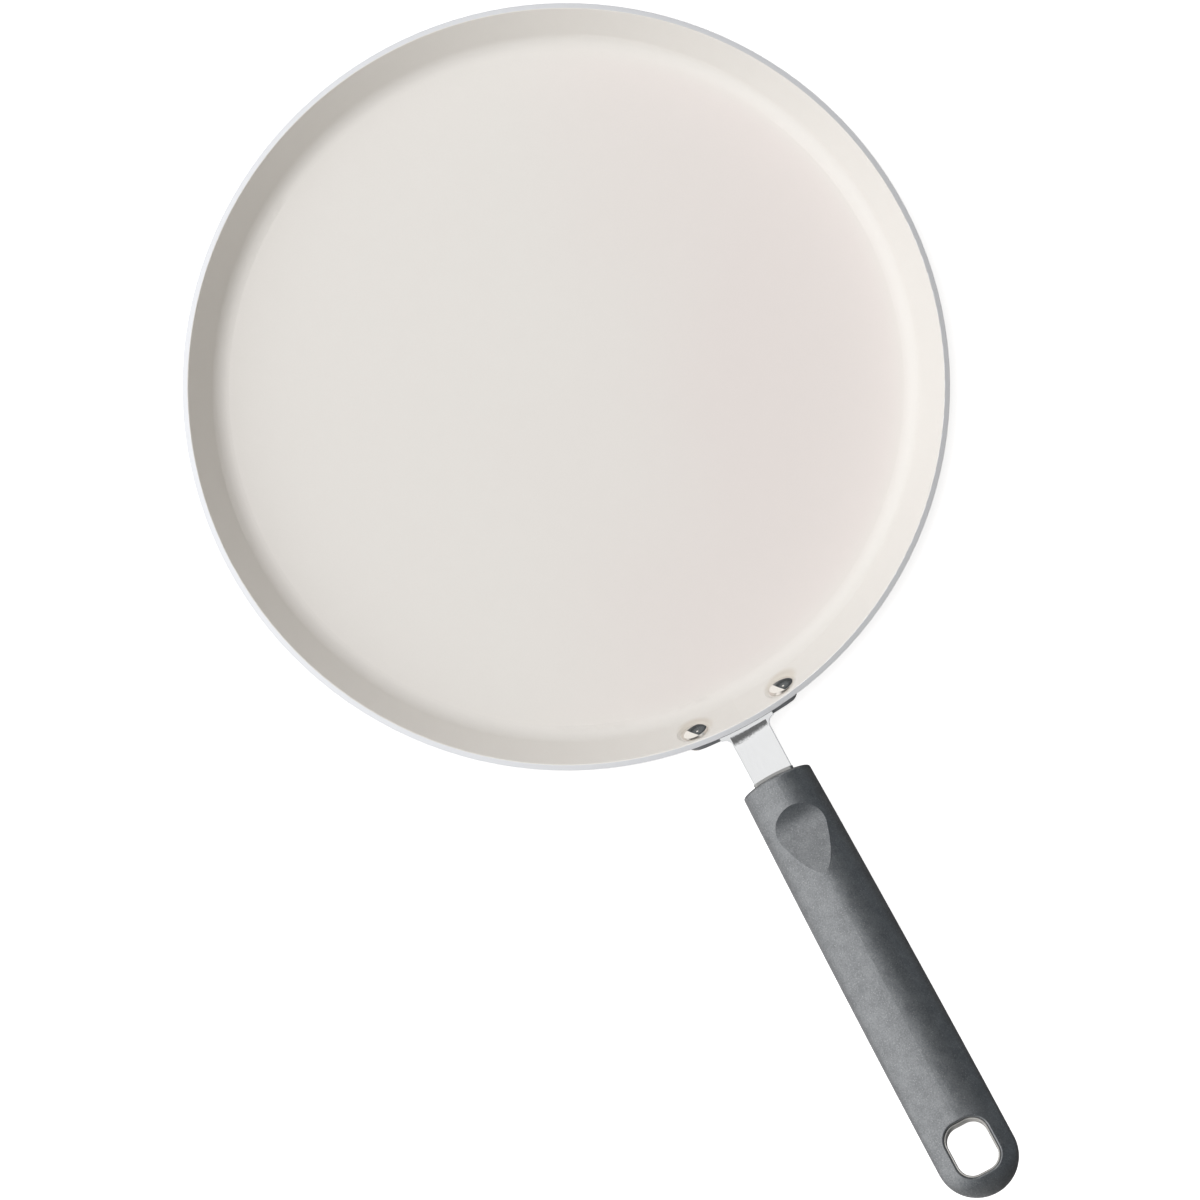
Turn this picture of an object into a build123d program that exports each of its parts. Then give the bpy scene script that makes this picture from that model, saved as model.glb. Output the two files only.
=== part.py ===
from build123d import *
from math import asin, cos, degrees, radians, sin, sqrt, tan
import os

# Crepe pan in millimetres. The origin is the centre of the face that the pan rests on,
# +Z is up and the handle points along +X. Left and right are as the cook sees them,
# holding the handle and looking at the pan, so left is -Y.

# Dish
rim_radius = 140.0
rim_height = 21.0
wall_lean = 28.5
wall_thickness = 2.6
base_thickness = 3.0
floor_fillet = 6.8
rim_edge_radius = 0.35
base_groove_count = 6
base_groove_first_radius = 22.0
base_groove_edge_distance = 16.5
base_groove_width = 2.4
base_groove_depth = 0.4

# Rivets and the dimples that they sit in
rivet_half_spacing = 17.85
rivet_drop = 7.4
rivet_head_radius = 5.0
rivet_head_height = 1.7
rivet_head_edge = 0.4
rivet_shank_radius = 2.6
rivet_tail_radius = 3.6
rivet_tail_height = 1.4
rivet_tail_edge = 0.5
rivet_hole_clearance = 0.1
dimple_radius = 6.3
dimple_depth = 0.55
dimple_floor_clearance = 0.3
tail_seat_depth = 0.12
tail_seat_clearance = 0.3

# Stamped bracket
plate_thickness = 2.5
wing_width = 45.5
wing_height = 12.0
wing_drop = 2.6
handle_rise = 14.0
bend_radius = 8.25
neck_width = 15.5
neck_length = 15.43
neck_root_fillet = 3.0
tang_width = 11.5
tang_length = 104.0
tang_lock_count = 2
tang_lock_radius = 2.5
tang_lock_spacing = 52.0
tang_lock_end_distance = 20.0

# Collar between neck and grip
collar_width = 15.9
collar_height = 5.4
collar_proud = 1.98
collar_seat_depth = 2.2
collar_corner_radius = 1.2
collar_front_radius = 62.0

# Moulded grip
grip_length = 170.27
grip_front_width = 27.0
grip_rear_width = 30.14
grip_front_radius = 150.0
grip_front_top = 8.5
grip_middle_top = 7.9
grip_rear_top = 5.5
grip_front_bottom = 7.8
grip_middle_bottom = 8.6
grip_rear_bottom = 5.4
grip_front_edge_radius = 1.2
grip_station_shares = (-0.03, 0.25, 0.5, 0.75, 1.0)
grip_top_power = 1.75
grip_bottom_power = 2.2
grip_section_angles = (90.0, 75.0, 60.0, 45.0, 30.0, 15.0, 0.0)

# Thumb recess
thumb_start = 12.73
thumb_length = 27.83
thumb_slope = 8.85
thumb_sweep_radius = 14.5
thumb_sweep_setback = 5.95

# Hanging hole and its liner
hang_hole_from_tip = 18.0
liner_length = 20.8
liner_width = 17.0
liner_corner_radius = 6.4
liner_wall = 0.8
liner_height = 7.8
liner_edge_radius = 0.3
hang_hole_edge_radius = 0.6

# One overrun serves every cut
overrun = 5.0

# Worked out from the sizes above
lean_sin = sin(radians(wall_lean))
lean_cos = cos(radians(wall_lean))
rise_sin = sin(radians(handle_rise))
rise_cos = cos(radians(handle_rise))
inner_rim_radius = rim_radius - wall_thickness * lean_cos
outer_rim_height = rim_height - wall_thickness * lean_sin
rivet_ring_radius = inner_rim_radius - rivet_drop * lean_sin
rivet_azimuth = degrees(asin(rivet_half_spacing / rivet_ring_radius))
tang_end = neck_length + tang_length
grip_front = neck_length + collar_proud
grip_tip = grip_front + grip_length
grip_end_radius = grip_rear_width / 2
grip_end_center = grip_tip - grip_end_radius


def outer_wall_point(slant, outward):
    """Point (radius, height): slant down the outer wall from the rim, then outward from it."""
    radius = rim_radius - slant * lean_sin + outward * lean_cos
    height = outer_rim_height - slant * lean_cos - outward * lean_sin
    return (radius, height)


def bend_center():
    """Centre of the bend between wing and neck, as (radius, height)."""
    return outer_wall_point(wing_drop, plate_thickness / 2 + bend_radius)


def bend_point(slope, radius):
    """Point at a radius from the bend's centre where the plate climbs at slope degrees."""
    center = bend_center()
    turn = radians(slope)
    return (center[0] - radius * sin(turn), center[1] + radius * cos(turn))


def handle_location():
    """Frame of the handle: origin on the plate's middle at the neck's start, X along it."""
    start = bend_point(handle_rise, bend_radius)
    plane = Plane(
        origin=(start[0], 0, start[1]),
        x_dir=(rise_cos, 0, rise_sin),
        z_dir=(-rise_sin, 0, rise_cos),
    )
    return plane.location


def revolve_section(points_to_edges):
    """Full turn about the pan's axis of a closed section in radius and height."""
    section = Plane.XZ * make_face(points_to_edges)
    return revolve(section, Axis.Z, 360)


def base_corner_radius():
    """Radius at which the outer wall would meet the resting face without a fillet."""
    return rim_radius - outer_rim_height / lean_cos * lean_sin


def last_groove_radius():
    """Middle of the outermost groove, kept clear of the fillet that ends the resting face."""
    wall_slope = 90 - wall_lean
    fillet_reach = (floor_fillet + wall_thickness) * tan(radians(wall_slope / 2))
    return base_corner_radius() - fillet_reach - base_groove_edge_distance


def base_grooves():
    """Edges of the resting face from its outermost groove in to the axis."""
    step = (last_groove_radius() - base_groove_first_radius) / (base_groove_count - 1)
    edges = []
    for index in range(base_groove_count):
        middle = last_groove_radius() - index * step
        outer = (middle + base_groove_width / 2, 0)
        inner = (middle - base_groove_width / 2, 0)
        last = index == base_groove_count - 1
        following = (0, 0) if last else (middle - step + base_groove_width / 2, 0)
        edges.append(ThreePointArc(outer, (middle, base_groove_depth), inner))
        edges.append(Line(inner, following))
    return edges


def dish_profile():
    """Closed section of the dish: floor, fillet, wall, square-cut rim, outer wall, base."""
    floor_corner = inner_rim_radius - (rim_height - base_thickness) / lean_cos * lean_sin
    skin = FilletPolyline(
        (0, base_thickness),
        (floor_corner, base_thickness),
        (inner_rim_radius, rim_height),
        (rim_radius, outer_rim_height),
        (base_corner_radius(), 0),
        (last_groove_radius() + base_groove_width / 2, 0),
        radius=[
            floor_fillet,
            rim_edge_radius,
            rim_edge_radius,
            floor_fillet + wall_thickness,
        ],
    )
    axis = Line((0, 0), (0, base_thickness))
    return skin.edges() + [axis] + base_grooves()


def rivet_location(side):
    """Frame of a rivet: origin on the dimple's floor, Z along the rivet into the pan."""
    turn = radians(side * rivet_azimuth)
    inward = (-lean_cos * cos(turn), -lean_cos * sin(turn), lean_sin)
    radius = rivet_ring_radius + dimple_depth * lean_cos
    height = rim_height - rivet_drop * lean_cos - dimple_depth * lean_sin
    plane = Plane(
        origin=(radius * cos(turn), radius * sin(turn), height),
        x_dir=(-sin(turn), cos(turn), 0),
        z_dir=inward,
    )
    return plane.location


def dimple_cutter():
    """Dish-shaped cut with a flat floor, wide enough for a rivet's head."""
    floor_radius = rivet_head_radius + dimple_floor_clearance
    slope = (dimple_radius - floor_radius) / dimple_depth
    mouth_radius = dimple_radius + slope * overrun
    cutter = Cone(floor_radius, mouth_radius, dimple_depth + overrun)
    return Pos(0, 0, (dimple_depth + overrun) / 2) * cutter


def rivet_hole():
    """Clearance hole for a rivet's shank through wall and plate."""
    depth = wall_thickness + plate_thickness + overrun
    return Pos(0, 0, -depth / 2) * Cylinder(rivet_shank_radius + rivet_hole_clearance, depth)


def make_pan_body():
    """Pressed dish with a dimple and a hole for each rivet."""
    body = revolve_section(dish_profile())
    for side in (-1, 1):
        body -= rivet_location(side) * dimple_cutter()
        body -= rivet_location(side) * rivet_hole()
    return body


def rivet_grip():
    """Length of shank between the dimple's floor and the seat of the tail."""
    return wall_thickness - dimple_depth + plate_thickness - tail_seat_depth


def make_rivet(side):
    """Rivet with a domed head inside and an upset tail on the bracket."""
    grip = rivet_grip()
    tail_top = -grip - rivet_tail_height
    head_side = (rivet_head_radius, rivet_head_edge)
    dome_height = rivet_head_height - rivet_head_edge
    dome_radius = (rivet_head_radius ** 2 + dome_height ** 2) / (2 * dome_height)
    shoulder_radius = rivet_tail_radius - rivet_tail_edge
    edges = [
        RadiusArc((0, rivet_head_height), head_side, dome_radius),
        Polyline(
            head_side,
            (rivet_head_radius, 0),
            (rivet_shank_radius, 0),
            (rivet_shank_radius, -grip),
            (rivet_tail_radius, -grip),
            (rivet_tail_radius, tail_top + rivet_tail_edge),
            (shoulder_radius, tail_top),
            (0, tail_top),
            (0, rivet_head_height),
        ),
    ]
    return rivet_location(side) * revolve_section(edges)


def wing_prism():
    """Outline of the two wings, rounded at both ends, pushed through the wall square to it."""
    middle = outer_wall_point(wing_drop + wing_height / 2, 0)
    plane = Plane(
        origin=(middle[0], 0, middle[1]),
        x_dir=(0, 1, 0),
        z_dir=(lean_cos, 0, -lean_sin),
    )
    outline = SlotOverall(wing_width, wing_height)
    return extrude(plane * outline, plate_thickness + overrun, both=True)


def along_handle(point, distance):
    """Point (radius, height) reached from another by going out along the handle."""
    return (point[0] + distance * rise_cos, point[1] + distance * rise_sin)


def bracket_sheet():
    """Sheet turned about the pan's axis: down the outer wall, round the bend, out to the tang."""
    wall_slope = 90 - wall_lean
    middle_slope = (wall_slope + handle_rise) / 2
    upper = bend_radius + plate_thickness / 2
    lower = bend_radius - plate_thickness / 2
    leg_end = wing_drop + wing_height + overrun
    reach = tang_end + overrun
    neck_top = bend_point(handle_rise, upper)
    neck_bottom = bend_point(handle_rise, lower)
    edges = [
        Line(outer_wall_point(leg_end, 0), bend_point(wall_slope, upper)),
        ThreePointArc(bend_point(wall_slope, upper), bend_point(middle_slope, upper), neck_top),
        Line(neck_top, along_handle(neck_top, reach)),
        Line(along_handle(neck_top, reach), along_handle(neck_bottom, reach)),
        Line(along_handle(neck_bottom, reach), neck_bottom),
        ThreePointArc(neck_bottom, bend_point(middle_slope, lower), bend_point(wall_slope, lower)),
        Line(bend_point(wall_slope, lower), outer_wall_point(leg_end, plate_thickness)),
        Line(outer_wall_point(leg_end, plate_thickness), outer_wall_point(leg_end, 0)),
    ]
    return Rot(0, 0, 180) * revolve_section(edges)


def root_prism():
    """Plan of the neck's root: it narrows to the neck by a concave fillet on each side."""
    wide = neck_width / 2 + neck_root_fillet
    near = outer_wall_point(wing_drop + plate_thickness, 0)[0]
    start = outer_wall_point(wing_drop, plate_thickness)[0]
    far = start + neck_root_fillet + overrun
    narrow = neck_width / 2
    inset = neck_root_fillet * (1 - sqrt(0.5))
    edges = []
    for side in (-1, 1):
        edges.append(Line((near, side * wide), (start, side * wide)))
        edges.append(
            ThreePointArc(
                (start, side * wide),
                (start + inset, side * (narrow + inset)),
                (start + neck_root_fillet, side * narrow),
            )
        )
        edges.append(Line((start + neck_root_fillet, side * narrow), (far, side * narrow)))
    edges.append(Line((near, -wide), (near, wide)))
    edges.append(Line((far, -narrow), (far, narrow)))
    return extrude(make_face(edges), rim_height + overrun)


def neck_plan():
    """Plan of the neck in the handle's frame, ending at the collar's convex front."""
    reach = neck_length + collar_proud + overrun
    plan = Pos((reach - overrun) / 2, 0) * Rectangle(reach + overrun, neck_width)
    collar = front_arc_region(neck_length, collar_front_radius, reach + overrun, neck_width)
    return plan - collar


def tang_plan():
    """Plan of the tang: round end and two lock holes that the moulding fills."""
    start = neck_length - overrun
    end_center = tang_end - tang_width / 2
    plan = Pos((start + end_center) / 2, 0) * Rectangle(end_center - start, tang_width)
    plan += Pos(end_center, 0) * Circle(tang_width / 2)
    for index in range(tang_lock_count):
        place = tang_end - tang_lock_end_distance - index * tang_lock_spacing
        plan -= Pos(place, 0) * Circle(tang_lock_radius)
    return plan


def handle_prism(plan):
    """A plan in the handle's frame, pushed through the sheet square to it."""
    return handle_location() * extrude(plan, plate_thickness + overrun, both=True)


def tang_sheet():
    """The tang alone, as the collar and the grip fit round it."""
    return bracket_sheet() & handle_prism(tang_plan())


def tail_seat():
    """Flat spot on the wing's outer face under a rivet's tail."""
    radius = rivet_tail_radius + tail_seat_clearance
    return Pos(0, 0, -rivet_grip() - overrun / 2) * Cylinder(radius, overrun)


def make_handle_bracket():
    """Stamped plate: wings on the wall, bend, neck and tang."""
    outline = wing_prism() + root_prism() + handle_prism(neck_plan() + tang_plan())
    bracket = bracket_sheet() & outline
    for side in (-1, 1):
        bracket -= rivet_location(side) * rivet_hole()
        bracket -= rivet_location(side) * tail_seat()
    return bracket


def front_arc_region(front, radius, reach, half_width):
    """Plan region behind a convex front of one radius, from its foremost point to reach."""
    corner = radius - sqrt(radius ** 2 - half_width ** 2)
    edges = [
        ThreePointArc((front + corner, -half_width), (front, 0), (front + corner, half_width)),
        Polyline(
            (front + corner, half_width),
            (reach, half_width),
            (reach, -half_width),
            (front + corner, -half_width),
        ),
    ]
    return make_face(edges)


def collar_block():
    """Collar's outer form: rounded bar across the handle with a convex front."""
    reach = grip_front + collar_seat_depth
    plan = front_arc_region(neck_length, collar_front_radius, reach, collar_width / 2)
    block = extrude(plan, collar_height / 2, both=True)
    section = Plane.YZ * RectangleRounded(collar_width, collar_height, collar_corner_radius)
    return block & extrude(section, reach + overrun)


def make_grip_collar():
    """Collar with a slot for the tang."""
    return handle_location() * collar_block() - tang_sheet()


def grip_size(front, middle, rear, share):
    """Size at a share of the grip's length, on a parabola through three sizes."""
    first = front * (1 - share) * (1 - 2 * share)
    second = middle * 4 * share * (1 - share)
    third = rear * share * (2 * share - 1)
    return first + second + third


def grip_half_width(share):
    """Half width at a share of the grip's length: it widens ever more slowly to the rear."""
    growth = (grip_rear_width - grip_front_width) / 2
    return grip_front_width / 2 + growth * (1 - (1 - share) ** 2)


def grip_half_section(share):
    """Edge from crown to keel on the +Y side: two quarters with their own fullness."""
    place = grip_front + share * (grip_end_center - grip_front)
    half_width = grip_half_width(share)
    top = grip_size(grip_front_top, grip_middle_top, grip_rear_top, share)
    bottom = grip_size(grip_front_bottom, grip_middle_bottom, grip_rear_bottom, share)
    points = []
    for angle in grip_section_angles:
        across = half_width * cos(radians(angle)) ** (2 / grip_top_power)
        points.append((place, across, top * sin(radians(angle)) ** (2 / grip_top_power)))
    for angle in reversed(grip_section_angles[:-1]):
        across = half_width * cos(radians(angle)) ** (2 / grip_bottom_power)
        points.append((place, across, -bottom * sin(radians(angle)) ** (2 / grip_bottom_power)))
    return Spline(points, tangents=[(0, 1, 0), (0, -1, 0)])


def grip_body():
    """Outer form of the grip: lofted length and a round end turned from the last section."""
    sections = []
    for share in grip_station_shares:
        half = grip_half_section(share)
        sections.append(make_face([half, mirror(half, Plane.XZ)]))
    length = loft(sections)
    last = grip_half_section(1.0)
    axis_line = Line(last @ 1, last @ 0)
    end_axis = Axis((grip_end_center, 0, 0), (0, 0, -1))
    end = revolve(make_face([last, axis_line]), end_axis, 180)
    return length + end


def grip_front_prism():
    """Everything behind the grip's convex front."""
    half_width = grip_front_width / 2 + overrun
    plan = front_arc_region(grip_front, grip_front_radius, grip_tip + overrun, half_width)
    return extrude(plan, grip_front_top + grip_front_bottom, both=True)


def thumb_cutter():
    """Sweep across the grip: a hollow front, then a floor that climbs to the crown."""
    wall = grip_front + thumb_start - thumb_sweep_setback
    tip = grip_front + thumb_start + thumb_length
    climb = tan(radians(thumb_slope))
    top = grip_front_top + thumb_sweep_radius
    reach = tip + thumb_sweep_radius / climb
    section = FilletPolyline(
        (wall, top),
        (wall, grip_front_top - climb * (tip - wall)),
        (reach, top),
        radius=thumb_sweep_radius,
    )
    lid = Line((reach, top), (wall, top))
    return extrude(Plane.XZ * make_face([section, lid]), grip_front_width / 2, both=True)


def hang_hole_plan(margin):
    """Rounded oblong of the hanging hole, smaller than the liner's outside by margin."""
    outline = RectangleRounded(
        liner_length - 2 * margin,
        liner_width - 2 * margin,
        liner_corner_radius - margin,
    )
    return Pos(grip_tip - hang_hole_from_tip, 0) * outline


def make_hang_hole_liner():
    """Oblong tube that lines the hanging hole."""
    plan = hang_hole_plan(0) - hang_hole_plan(liner_wall)
    tube = extrude(plan, liner_height / 2, both=True)
    ends = tube.edges().group_by(Axis.Z)
    tube = fillet(ends[0] + ends[-1], liner_edge_radius)
    return handle_location() * tube


def cut_hang_hole(grip):
    """Grip with the hanging hole cut through it and both of its mouths rounded."""
    grip -= extrude(hang_hole_plan(0), grip_front_top, both=True)
    half_width = liner_width / 2 + hang_hole_edge_radius
    half_length = liner_length / 2 + hang_hole_edge_radius
    middle = grip_tip - hang_hole_from_tip
    mouths = grip.edges().filter_by(Axis.Z, reverse=True)
    mouths = mouths.filter_by_position(Axis.X, middle - half_length, middle + half_length)
    mouths = mouths.filter_by_position(Axis.Y, -half_width, half_width)
    return fillet(mouths, hang_hole_edge_radius)


def make_grip():
    """Moulded grip with its recess, hole and seats."""
    grip = grip_body() & grip_front_prism()
    grip = fillet(grip.faces().sort_by(Axis.X)[0].edges(), grip_front_edge_radius)
    grip -= thumb_cutter()
    grip = cut_hang_hole(grip)
    grip -= collar_block()
    return handle_location() * grip - tang_sheet()


def write_parts():
    """Write one file for each piece."""
    pieces = {
        "pan_body": make_pan_body(),
        "handle_bracket": make_handle_bracket(),
        "rivet_left": make_rivet(-1),
        "rivet_right": make_rivet(1),
        "grip": make_grip(),
        "grip_collar": make_grip_collar(),
        "hang_hole_liner": make_hang_hole_liner(),
    }
    os.makedirs("parts", exist_ok=True)
    for name, piece in pieces.items():
        export_step(piece, "parts/" + name + ".step")


write_parts()
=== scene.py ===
from math import cos, radians, sin

import bpy
from mathutils import Matrix, Vector

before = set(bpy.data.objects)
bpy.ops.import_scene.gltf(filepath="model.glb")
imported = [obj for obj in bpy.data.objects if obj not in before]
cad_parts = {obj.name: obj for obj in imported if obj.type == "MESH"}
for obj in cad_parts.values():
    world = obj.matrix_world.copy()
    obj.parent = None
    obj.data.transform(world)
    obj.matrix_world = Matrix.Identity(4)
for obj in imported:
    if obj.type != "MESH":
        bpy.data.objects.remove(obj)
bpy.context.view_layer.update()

# Dish, in metres
rim_radius = 0.140
rim_height = 0.021
wall_lean = radians(28.5)
wall_thickness = 0.0026
base_thickness = 0.003
base_flat_radius = 0.1236
inner_rim_radius = rim_radius - wall_thickness * cos(wall_lean)

# Rivet heads: their middle beside the handle's axis, along it and from the pan's axis
head_center_across = 0.01772
head_center_along = 0.1325
head_center_radius = 0.13368
head_radius = 0.005

# The line where a head's two dressed flats meet, and how far each flat leans
crown_shift = -0.00136
crown_slant = 0.97
bright_lean = 0.20
dark_lean = 0.27

# Handle
neck_half_width = 0.00775
handle_rise = radians(14.0)
handle_axis = (cos(handle_rise), 0.0, sin(handle_rise))
tip_fall_start = 0.308
tip_along = 0.3273

# Grain: cells of noise per metre
coat_patches = 9.0
coat_grain = 1400.0
turned_rings = 5200.0
plate_grain = 900.0
bend_grain = 2600.0
rivet_scratches = 3000.0
trim_grain = 1500.0
moulding_grain = 1700.0
moulding_specks = 2100.0

# Colours, linear; a pair is the darker and the lighter end of a mottled finish
cream_coat = (0.843, 0.820, 0.776)
# Painted reflection: pinker tint for one side of the floor, standing in for warm surroundings
# mirrored in the coat
painted_reflection_pink = (0.838, 0.784, 0.750)
grained_coat = (0.72, 0.69, 0.64)
# Painted shade: darker, browner coat round the rivet heads, where they would shade the coat
painted_shade_coat = (0.66, 0.60, 0.51)
outside_coat = ((0.040, 0.044, 0.048), (0.060, 0.065, 0.070))
turned_metal = ((0.80, 0.815, 0.835), (0.85, 0.865, 0.885))
plate_steel = ((0.735, 0.74, 0.745), (0.785, 0.79, 0.795))
# Partly the dull sheared finish, partly painted shade cast by the rim on the wings' edges
sheared_and_shaded_steel = (0.26, 0.265, 0.27)
rivet_steel = ((0.73, 0.69, 0.64), (0.78, 0.74, 0.69))
collar_steel = (0.38, 0.38, 0.37)
liner_steel = (0.56, 0.545, 0.52)
charcoal = ((0.224, 0.232, 0.240), (0.342, 0.352, 0.362))
pale_speck = (0.50, 0.51, 0.52)
white = (1.0, 1.0, 1.0)
bare_metallic = 0.16

# View: straight down on the pan, as the photograph shows it
view_turn = radians(62.0)
view_distance = 2.083
view_width = 0.4369
pan_right_of_center = -0.01234
pan_above_center = 0.07769
view_right = Vector((cos(view_turn), sin(view_turn), 0.0))
view_up = Vector((-sin(view_turn), cos(view_turn), 0.0))
sensor_width = 36.0

# The studio is brighter on the photograph's left, a little towards its bottom
bright_turn = radians(3.0)
bright_side = -cos(bright_turn) * view_right - sin(bright_turn) * view_up
bright_strength = 1.04
bright_tint = (0.99, 0.99, 0.99)
dim_strength = 0.10
dim_tint = (1.14, 1.00, 0.78)
mirrored_dim_strength = 0.19
mirrored_dim_tint = (0.88, 0.98, 1.08)

# Key light: a softbox over the bright side
key_turn = radians(-30.0)
key_side = -cos(key_turn) * view_right - sin(key_turn) * view_up
key_place = 0.52 * key_side + Vector((0.0, 0.0, 1.50))
key_target = Vector((0.05, 0.0, 0.0))
key_size = (1.0, 1.1)
key_power = 10.95
key_color = (1.0, 0.995, 1.035)

# Dark cards round the studio: direction, half angle, width of the soft edge, darkness.
# One hangs high on the dim side, one stands low beyond the pan and one beyond the grip.
dark_cards = (
    ((0.0, cos(radians(60.0)), sin(radians(60.0))), 25.0, 3.0, 0.62),
    ((-cos(radians(22.0)), 0.0, sin(radians(22.0))), 13.0, 12.0, 0.85),
    ((cos(radians(52.0)), 0.0, sin(radians(52.0))), 13.0, 8.0, 0.50),
)

# Floor
floor_half_width = 6.0
floor_height = -0.0002
floor_glow = 0.74
floor_color = (0.90, 0.90, 0.90)
mirrored_floor_dim = (0.16, 0.16, 0.16)
mirrored_floor_lit = (0.85, 0.85, 0.85)


def put(socket, value):
    """Link a node's output to a socket, or set the socket's own value."""
    if isinstance(value, bpy.types.NodeSocket):
        socket.id_data.links.new(value, socket)
    elif isinstance(value, (tuple, list)) and len(value) == 3 and len(socket.default_value) == 4:
        socket.default_value = (*value, 1.0)
    else:
        socket.default_value = value


def add(tree, kind, *values, **settings):
    """New node with its first inputs and its settings."""
    node = tree.nodes.new(kind)
    for name, value in settings.items():
        setattr(node, name, value)
    for index, value in enumerate(values):
        put(node.inputs[index], value)
    return node


def calc(tree, operation, *values):
    """Result of one sum on numbers."""
    return add(tree, "ShaderNodeMath", *values, operation=operation).outputs[0]


def product(tree, first, second):
    """First times second."""
    return calc(tree, "MULTIPLY", first, second)


def total(tree, first, second):
    """First plus second."""
    return calc(tree, "ADD", first, second)


def difference(tree, first, second):
    """First less second."""
    return calc(tree, "SUBTRACT", first, second)


def vector_calc(tree, operation, *values):
    """Result of one sum on vectors."""
    return add(tree, "ShaderNodeVectorMath", *values, operation=operation).outputs[0]


def vector_number(tree, operation, *values):
    """Number that comes of vectors, such as a length."""
    return add(tree, "ShaderNodeVectorMath", *values, operation=operation).outputs["Value"]


def vector_total(tree, first, second):
    """First vector plus second."""
    return vector_calc(tree, "ADD", first, second)


def scaled(tree, vector, factor):
    """Vector times a number."""
    node = add(tree, "ShaderNodeVectorMath", vector, operation="SCALE")
    put(node.inputs["Scale"], factor)
    return node.outputs[0]


def unit(tree, vector):
    """Vector of length one along a vector."""
    return vector_calc(tree, "NORMALIZE", vector)


def parts_of(tree, vector):
    """The three numbers of a vector."""
    return add(tree, "ShaderNodeSeparateXYZ", vector).outputs


def joined(tree, *numbers):
    """Vector of three numbers."""
    return add(tree, "ShaderNodeCombineXYZ", *numbers).outputs[0]


def ramp(tree, value, low, high, start=0.0, end=1.0):
    """Smooth step: start below low, end above high."""
    node = add(tree, "ShaderNodeMapRange", value, low, high, start, end)
    node.interpolation_type = "SMOOTHSTEP"
    return node.outputs[0]


def mix_color(tree, share, first, second):
    """Colour between two, by share."""
    node = add(tree, "ShaderNodeMix", data_type="RGBA")
    put(node.inputs[0], share)
    put(node.inputs[6], first)
    put(node.inputs[7], second)
    return node.outputs[2]


def mix_value(tree, share, first, second):
    """Number between two, by share."""
    node = add(tree, "ShaderNodeMix", data_type="FLOAT")
    put(node.inputs[0], share)
    put(node.inputs[2], first)
    put(node.inputs[3], second)
    return node.outputs[0]


def noise(tree, place, scale, detail=2.0, roughness=0.5):
    """Soft random value about 0.5 at a place."""
    node = add(tree, "ShaderNodeTexNoise")
    put(node.inputs["Vector"], place)
    put(node.inputs["Scale"], scale)
    put(node.inputs["Detail"], detail)
    put(node.inputs["Roughness"], roughness)
    return node.outputs[0]


def drawn_lines(tree, place, scale, stretch):
    """Fine noise, drawn out along X."""
    drawn = vector_calc(tree, "MULTIPLY", place, (1.0 / stretch, 1.0, 1.0))
    return noise(tree, drawn, scale, detail=3.0)


def object_place(tree):
    """Place in the object's own frame."""
    return add(tree, "ShaderNodeTexCoord").outputs["Object"]


def surface(tree, output):
    """The surface's normal or another of its facts."""
    return add(tree, "ShaderNodeNewGeometry").outputs[output]


def bump(tree, height, distance, strength, normal=None):
    """Normal from a height in metres times distance, on the face's own or a given normal."""
    node = add(tree, "ShaderNodeBump")
    if normal is not None:
        put(node.inputs["Normal"], normal)
    put(node.inputs["Strength"], strength)
    put(node.inputs["Distance"], distance)
    put(node.inputs["Height"], height)
    return node.outputs[0]


def new_material(name, kind="ShaderNodeBsdfPrincipled"):
    """Empty node material: it, its tree and the shader that its surface shows."""
    material = bpy.data.materials.new(name)
    material.use_nodes = True
    tree = material.node_tree
    tree.nodes.clear()
    shader = tree.nodes.new(kind)
    output = tree.nodes.new("ShaderNodeOutputMaterial")
    tree.links.new(shader.outputs[0], output.inputs["Surface"])
    return material, tree, shader


def shade(shader, **values):
    """Set or link the Principled shader's sockets by name."""
    for name, value in values.items():
        put(shader.inputs[name.replace("_", " ")], value)


def new_group(name, numbers, outputs):
    """Node group with a place, named numbers and named outputs."""
    tree = bpy.data.node_groups.new(name, "ShaderNodeTree")
    tree.interface.new_socket("Place", in_out="INPUT", socket_type="NodeSocketVector")
    for label in numbers:
        tree.interface.new_socket(label, in_out="INPUT", socket_type="NodeSocketFloat")
    for label in outputs:
        tree.interface.new_socket(label, in_out="OUTPUT", socket_type="NodeSocketFloat")
    return tree, tree.nodes.new("NodeGroupInput").outputs, tree.nodes.new("NodeGroupOutput").inputs


def use_group(tree, group, *values):
    """Outputs of a node group placed in a material."""
    node = tree.nodes.new("ShaderNodeGroup")
    node.node_tree = group
    for index, value in enumerate(values):
        put(node.inputs[index], value)
    return node.outputs


def make_grain_group():
    """Fine mottling: two noises, one at the grain's scale and one eight times as coarse."""
    tree, given, results = new_group("fine_grain", ["Scale"], ["Grain"])
    place, scale = given["Place"], given["Scale"]
    fine = noise(tree, place, scale, detail=3.0, roughness=0.6)
    wide = noise(tree, place, product(tree, scale, 0.125))
    put(results["Grain"], mix_value(tree, 0.35, fine, wide))
    return tree


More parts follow.
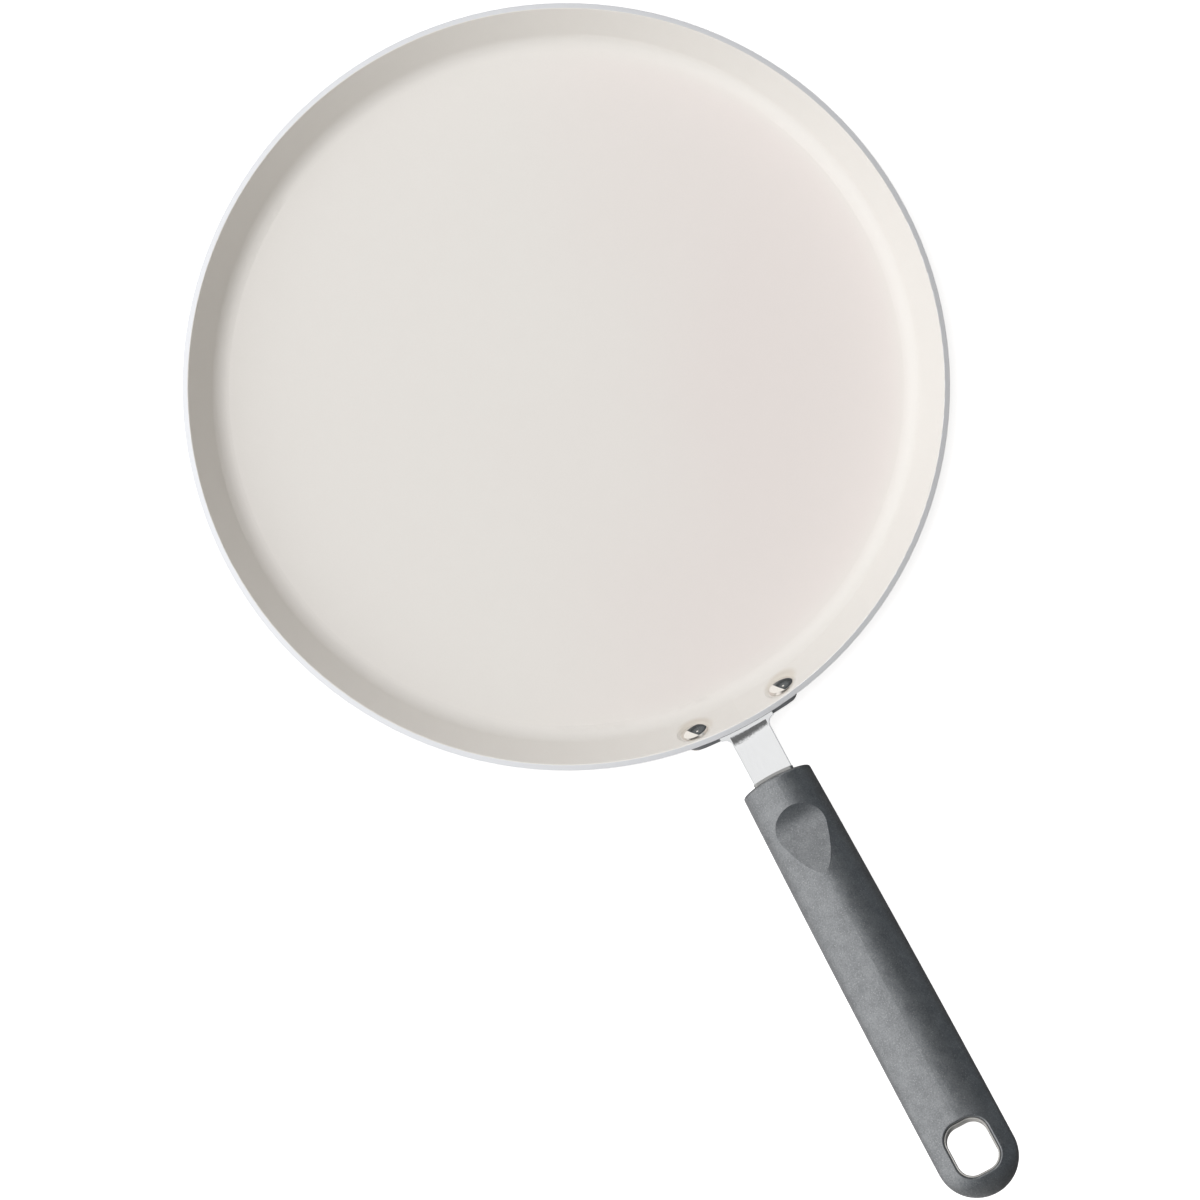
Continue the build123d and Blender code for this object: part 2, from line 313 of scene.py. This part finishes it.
def make_dish_zones_group():
    """Where a point of the dish lies: inside skin, bare rim and turned base, as masks.

    Slant is the way down the wall from the rim and depth the way through the wall from
    its inner side, both from the radius and the height.
    """
    tree, given, results = new_group("dish_zones", [], ["Radius", "Inside", "Rim", "Base"])
    across, along, height = parts_of(tree, given["Place"])
    squares = total(tree, product(tree, across, across), product(tree, along, along))
    radius = calc(tree, "SQRT", squares)
    outward = difference(tree, radius, inner_rim_radius)
    fall = difference(tree, rim_height, height)
    depth = total(
        tree, product(tree, outward, cos(wall_lean)), product(tree, fall, sin(wall_lean))
    )
    slant = difference(
        tree, product(tree, fall, cos(wall_lean)), product(tree, outward, sin(wall_lean))
    )
    near_inner = calc(tree, "LESS_THAN", depth, wall_thickness / 3)
    above_base = calc(tree, "GREATER_THAN", height, base_thickness * 0.7)
    under_base = calc(tree, "LESS_THAN", height, base_thickness * 0.2)
    # The inner edge of the rim keeps its coat
    past_edge = ramp(tree, depth, 0.00018, 0.00030)
    near_rim = ramp(tree, slant, 0.00028, 0.00022)
    within_base = ramp(tree, radius, base_flat_radius, base_flat_radius - 0.0002)
    put(results["Radius"], radius)
    put(results["Inside"], product(tree, near_inner, above_base))
    put(results["Rim"], product(tree, near_rim, past_edge))
    put(results["Base"], product(tree, under_base, within_base))
    return tree


def dish_material():
    """Cream ceramic coat inside, bare turned rim and base, dark coat outside."""
    material, tree, shader = new_material("coated_dish")
    place = object_place(tree)
    zones = use_group(tree, dish_zones, place)
    grain = use_group(tree, fine_grain, place, coat_grain)[0]
    radius, inside = zones["Radius"], zones["Inside"]
    bare = calc(tree, "MAXIMUM", zones["Rim"], zones["Base"])

    # Painted reflection: one side of the floor is tinted a touch pinker, standing in for warm
    # surroundings mirrored in the coat, with a wide soft change
    toward = vector_number(tree, "DOT_PRODUCT", place, tuple(view_right))
    uneven = product(tree, noise(tree, place, coat_patches, detail=1.0), 0.10)
    painted_reflection_share = ramp(tree, total(tree, toward, uneven), 0.03, 0.12)
    painted_reflection_share = product(tree, painted_reflection_share, ramp(tree, radius, 0.129, 0.117))
    coat = mix_color(tree, painted_reflection_share, cream_coat, painted_reflection_pink)
    coat = mix_color(tree, ramp(tree, grain, 0.25, 0.75, 0.0, 0.10), coat, grained_coat)

    # Painted shade round the rivets: the coat is darker and browner where the heads would shade
    # it, most on the side of the floor
    x, y, _ = parts_of(tree, place)
    rivet_across = product(tree, calc(tree, "SIGN", y), head_center_across)
    across = difference(tree, difference(tree, y, rivet_across), 0.20 * head_radius)
    up_wall = calc(tree, "DIVIDE", difference(tree, radius, head_center_radius), sin(wall_lean))
    up_wall = total(tree, up_wall, 0.25 * head_radius)
    reach = vector_number(tree, "LENGTH", joined(tree, across, up_wall, 0.0))
    painted_shade = product(tree, ramp(tree, reach, 1.55 * head_radius, 0.95 * head_radius), 0.62)
    painted_shade = product(tree, painted_shade, calc(tree, "GREATER_THAN", x, 0.0))
    coat = mix_color(tree, painted_shade, coat, painted_shade_coat)

    # Turned metal has fine rings about the pan's axis
    rings = noise(tree, joined(tree, radius, 0.0, 0.0), turned_rings)
    outside = mix_color(tree, ramp(tree, grain, 0.35, 0.70), *outside_coat)
    color = mix_color(tree, inside, outside, coat)
    coat_rough = mix_value(tree, inside, 0.55, 0.42)
    shade(
        shader,
        Base_Color=mix_color(tree, bare, color, mix_color(tree, rings, *turned_metal)),
        Roughness=mix_value(tree, bare, coat_rough, mix_value(tree, rings, 0.50, 0.60)),
        Metallic=product(tree, bare, bare_metallic),
        Normal=bump(tree, mix_value(tree, bare, grain, rings), 0.00002, 0.35),
    )
    return material


def trim_material(name, color, rough):
    """Satin stainless steel with a fine drawn grain along X."""
    material, tree, shader = new_material(name)
    lines = drawn_lines(tree, object_place(tree), trim_grain, 10.0)
    shade(
        shader,
        Base_Color=mix_color(tree, lines, tuple(0.94 * part for part in color), color),
        Roughness=mix_value(tree, lines, rough * 0.8, rough * 1.25),
        Metallic=1.0,
        Normal=bump(tree, lines, 0.00001, 0.3),
    )
    return material


def bracket_material():
    """Polished plate with rolled edges; the wings' sheared edges near the rim are dull and darker,
    partly for the sheared finish and partly as painted shade cast by the rim.
    """
    material, tree, shader = new_material("polished_bracket")
    place = object_place(tree)
    lines = drawn_lines(tree, place, plate_grain, 30.0)
    flat_place = vector_calc(tree, "MULTIPLY", place, (1.0, 1.0, 0.0))
    radius = vector_number(tree, "LENGTH", flat_place)
    sideways = parts_of(tree, place)[1]
    beside = calc(tree, "ABSOLUTE", sideways)

    # On the wings a face square to the wall's skin is a sheared edge; near the rim it is darkened,
    # partly as dull sheared steel and partly as painted shade cast by the rim
    skin = scaled(tree, unit(tree, flat_place), cos(wall_lean))
    skin = vector_total(tree, skin, (0.0, 0.0, -sin(wall_lean)))
    true_normal = surface(tree, "True Normal")
    along_skin = vector_number(tree, "DOT_PRODUCT", true_normal, skin)
    sheared_and_shaded = ramp(tree, calc(tree, "ABSOLUTE", along_skin), 0.6, 0.4)
    under_rim = ramp(tree, radius, rim_radius + 0.0022, rim_radius + 0.0016)
    past_root = ramp(tree, beside, neck_half_width + 0.0025, neck_half_width + 0.0035)
    sheared_and_shaded = product(tree, product(tree, sheared_and_shaded, under_rim), past_root)

    # The bend runs out at the neck's sides, so the root's fillets stay flat
    faces_up = ramp(tree, parts_of(tree, true_normal)[2], 0.0, 0.2)
    past_neck = ramp(tree, beside, neck_half_width - 0.0005, neck_half_width, 0.0, 6.0)
    past_rim = ramp(tree, radius, rim_radius - 0.001, rim_radius + 0.0005)
    next_to_rim = ramp(tree, radius, rim_radius + 0.0012, rim_radius + 0.0008, 0.0, 6.0)
    run_out = calc(tree, "MAXIMUM", product(tree, past_neck, past_rim), next_to_rim)
    flat_root = scaled(tree, (0.0, 0.0, 1.0), product(tree, run_out, faces_up))
    rolled = add(tree, "ShaderNodeBevel", 0.00045, samples=6).outputs[0]
    rolled = vector_total(tree, rolled, flat_root)

    # The bend is not quite square to the neck, and it is grained
    skew = ramp(tree, sideways, neck_half_width, -neck_half_width, 0.0, 0.14)
    grained = product(tree, difference(tree, noise(tree, place, bend_grain), 0.5), 0.30)
    at_bend = ramp(tree, radius, rim_radius + 0.0065, rim_radius + 0.0045)
    skew = product(tree, total(tree, skew, grained), product(tree, at_bend, faces_up))
    rolled = unit(tree, vector_total(tree, rolled, scaled(tree, (-1.0, 0.0, 0.0), skew)))
    shade(
        shader,
        Base_Color=mix_color(tree, sheared_and_shaded, mix_color(tree, lines, *plate_steel), sheared_and_shaded_steel),
        Roughness=mix_value(tree, sheared_and_shaded, mix_value(tree, lines, 0.13, 0.20), 0.45),
        Metallic=1.0,
        Normal=bump(tree, lines, 0.00001, 0.3, rolled),
    )
    return material


def rivet_material():
    """Polished steel whose head is dressed to two soft flats that meet at its centre.

    The flats lean to either side, so that they mirror the studio over the pan. Round
    them and toward the rim the head keeps its own curve and mirrors the pan.
    """
    material, tree, shader = new_material("polished_rivet")
    place = object_place(tree)
    x, y, _ = parts_of(tree, place)
    rivet_across = product(tree, calc(tree, "SIGN", y), head_center_across)
    across = difference(tree, y, rivet_across)
    along = difference(tree, x, head_center_along)
    up_wall = calc(tree, "DIVIDE", along, sin(wall_lean))
    off_center = joined(tree, across, up_wall, 0.0)

    # The dressed area is an oval a little off the head's middle
    oval_center = (0.08 * head_radius, 0.18 * head_radius, 0.0)
    oval = vector_calc(tree, "SUBTRACT", off_center, oval_center)
    oval = vector_calc(tree, "MULTIPLY", oval, (0.84, 1.0, 0.0))
    reach = vector_number(tree, "LENGTH", oval)
    dressed = ramp(tree, reach, 0.82 * head_radius, 0.74 * head_radius)

    # The dark flat is hollowed a little round a small bright pip
    pip = (0.20 * head_radius, 0.36 * head_radius, 0.0)
    from_pip = vector_number(tree, "DISTANCE", off_center, pip)
    hollow = ramp(tree, from_pip, 0.85 * head_radius, 0.0, 0.0, 0.50)
    past_pip = ramp(tree, from_pip, 0.07 * head_radius, 0.12 * head_radius)
    from_crown = product(tree, total(tree, along, crown_shift), -crown_slant)
    past_crown = ramp(tree, total(tree, across, from_crown), -0.0002, 0.0002)
    dark_share = product(tree, past_crown, past_pip)
    lean = mix_value(tree, dark_share, -bright_lean, total(tree, dark_lean, hollow))
    flat = scaled(tree, unit(tree, joined(tree, 0.0, lean, 1.0)), dressed)
    own_share = difference(tree, 1.0, product(tree, dressed, 0.74))
    own = scaled(tree, surface(tree, "Normal"), own_share)
    scratches = noise(tree, place, rivet_scratches, detail=3.0)
    shade(
        shader,
        Base_Color=mix_color(tree, scratches, *rivet_steel),
        Roughness=mix_value(tree, scratches, 0.16, 0.22),
        Metallic=1.0,
        Normal=unit(tree, vector_total(tree, own, flat)),
    )
    return material


def grip_material():
    """Charcoal moulded plastic with pale specks and a fine satin texture."""
    material, tree, shader = new_material("speckled_grip")
    place = object_place(tree)
    grain = use_group(tree, fine_grain, place, moulding_grain)[0]
    cells = add(tree, "ShaderNodeTexVoronoi", feature="F1")
    put(cells.inputs["Vector"], place)
    put(cells.inputs["Scale"], moulding_specks)
    near = ramp(tree, cells.outputs["Distance"], 0.45, 0.18)
    drawn_lot = add(tree, "ShaderNodeSeparateColor", cells.outputs["Color"]).outputs[0]
    speck = product(tree, near, ramp(tree, drawn_lot, 0.72, 0.86))
    base = mix_color(tree, ramp(tree, grain, 0.3, 0.7), *charcoal)

    # The moulding falls away softly toward the tip and where the thumb recess starts
    own_normal = surface(tree, "Normal")
    slope = vector_number(tree, "DOT_PRODUCT", own_normal, handle_axis)
    tip_fall = ramp(tree, parts_of(tree, place)[0], tip_fall_start, tip_along, 0.0, 0.85)
    recess_fall = product(tree, calc(tree, "MAXIMUM", slope, 0.0), 0.6)
    fall = scaled(tree, handle_axis, total(tree, tip_fall, recess_fall))
    soft_normal = unit(tree, vector_total(tree, own_normal, fall))
    shade(
        shader,
        Base_Color=mix_color(tree, product(tree, speck, 0.70), base, pale_speck),
        Roughness=mix_value(tree, grain, 0.36, 0.46),
        Metallic=mix_value(tree, speck, 0.95, 0.80),
        Specular_IOR_Level=0.6,
        Normal=bump(tree, grain, 0.00004, 0.35, soft_normal),
    )
    return material


def dress(node_name, material):
    """Give a piece of the frame its material."""
    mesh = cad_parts[node_name].data
    mesh.materials.clear()
    mesh.materials.append(material)


def floor_material():
    """Near-white floor that the camera sees as white away from shadow; shiny surfaces mirror it
    lighter on the lit side and dimmer on the dim side.
    """
    material, tree, shader = new_material("studio_floor", "ShaderNodeMixShader")
    place = object_place(tree)
    path = add(tree, "ShaderNodeLightPath").outputs

    # What shines over it mirrors it dimmer on the dim side
    lit_share = ramp(tree, parts_of(tree, place)[1], 0.012, -0.012)
    reflected = mix_color(tree, lit_share, mirrored_floor_dim, mirrored_floor_lit)
    color = mix_color(tree, path["Is Glossy Ray"], floor_color, reflected)
    diffuse = add(tree, "ShaderNodeBsdfDiffuse", color)
    seen = calc(tree, "MAXIMUM", path["Is Camera Ray"], path["Is Transmission Ray"])
    glow = add(tree, "ShaderNodeEmission", white, product(tree, seen, floor_glow))
    both = add(tree, "ShaderNodeAddShader", diffuse.outputs[0], glow.outputs[0])

    # Open to a view from below, and under the base, which hides that opening from above
    from_axis = vector_number(tree, "LENGTH", place)
    under_base = calc(tree, "LESS_THAN", from_axis, base_flat_radius - 0.006)
    put(shader.inputs[0], calc(tree, "MAXIMUM", surface(tree, "Backfacing"), under_base))
    put(shader.inputs[1], both.outputs[0])
    put(shader.inputs[2], add(tree, "ShaderNodeBsdfTransparent").outputs[0])
    return material


def link(name, data):
    """New object in the scene for a mesh, lamp or camera."""
    thing = bpy.data.objects.new(name, data)
    bpy.context.scene.collection.objects.link(thing)
    return thing


def make_floor():
    """Wide pale floor just under the pan, open to a view from below."""
    signs = ((-1, -1), (1, -1), (1, 1), (-1, 1))
    corners = [(x * floor_half_width, y * floor_half_width, floor_height) for x, y in signs]
    mesh = bpy.data.meshes.new("studio_floor")
    mesh.from_pydata(corners, [], [(0, 1, 2, 3)])
    mesh.materials.append(floor_material())
    floor = link("studio_floor", mesh)


def make_world():
    """Soft surround: bright on the photograph's left and dim on its right."""
    world = bpy.data.worlds.new("soft_studio")
    bpy.context.scene.world = world
    world.use_nodes = True
    tree = world.node_tree
    tree.nodes.clear()
    output = tree.nodes.new("ShaderNodeOutputWorld")
    direction = add(tree, "ShaderNodeTexCoord").outputs["Generated"]
    side = vector_number(tree, "DOT_PRODUCT", direction, tuple(bright_side))
    path = add(tree, "ShaderNodeLightPath").outputs
    mirrored, seen = path["Is Glossy Ray"], path["Is Camera Ray"]

    brightness = ramp(tree, side, -0.30, 0.08)
    dim_color = mix_color(tree, mirrored, dim_tint, mirrored_dim_tint)
    tint = mix_color(tree, brightness, dim_color, bright_tint)
    dim_level = mix_value(tree, mirrored, dim_strength, mirrored_dim_strength)
    strength = mix_value(tree, brightness, dim_level, bright_strength)
    side_card = product(tree, mirrored, ramp(tree, side, 0.0, 0.4, 0.0, 0.12))
    strength = total(tree, strength, side_card)

    # A low scrim on the bright side holds soft light back from the wall that faces it
    low = ramp(tree, parts_of(tree, direction)[2], 0.50, 0.20, 0.0, 0.35)
    scrim = product(tree, ramp(tree, side, 0.35, 0.85), low)
    scrim = product(tree, scrim, difference(tree, 1.0, mirrored))
    strength = product(tree, strength, difference(tree, 1.0, scrim))

    for card, half_angle, edge, cover in dark_cards:
        toward = vector_number(tree, "DOT_PRODUCT", direction, card)
        outer_edge = cos(radians(half_angle + edge))
        inner_edge = cos(radians(half_angle))
        shadow = ramp(tree, toward, outer_edge, inner_edge, 0.0, cover)
        strength = product(tree, strength, difference(tree, 1.0, shadow))
    tint = mix_color(tree, seen, tint, white)
    back = add(tree, "ShaderNodeBackground", tint, mix_value(tree, seen, strength, 1.0))
    put(output.inputs["Surface"], back.outputs[0])


def make_key():
    """Softbox that faces the pan and that nothing mirrors."""
    lamp = bpy.data.lights.new("key", "AREA")
    lamp.shape = "RECTANGLE"
    lamp.size, lamp.size_y = key_size
    lamp.energy = key_power
    lamp.color = key_color
    thing = link("key", lamp)
    facing = (key_target - key_place).to_track_quat("-Z", "Y").to_matrix().to_4x4()
    thing.matrix_world = Matrix.Translation(key_place) @ facing
    thing.visible_glossy = False


def make_camera():
    """Camera straight above, turned so that the handle runs to the lower right."""
    camera = bpy.data.cameras.new("photo_view")
    camera.sensor_width = sensor_width
    camera.lens = sensor_width * view_distance / view_width
    thing = link("photo_view", camera)
    across = -pan_right_of_center * view_right - pan_above_center * view_up
    thing.location = across + Vector((0.0, 0.0, rim_height + view_distance))
    thing.rotation_euler = (0.0, 0.0, view_turn)
    bpy.context.scene.camera = thing


fine_grain = make_grain_group()
dish_zones = make_dish_zones_group()

dress("pan_body", dish_material())
dress("handle_bracket", bracket_material())
rivet_finish = rivet_material()
for side in ("left", "right"):
    dress("rivet_" + side, rivet_finish)
dress("grip_collar", trim_material("collar_steel", collar_steel, 0.34))
dress("hang_hole_liner", trim_material("liner_steel", liner_steel, 0.40))
dress("grip", grip_material())

make_floor()
make_world()
make_key()
make_camera()

bpy.context.scene.view_settings.view_transform = "Standard"
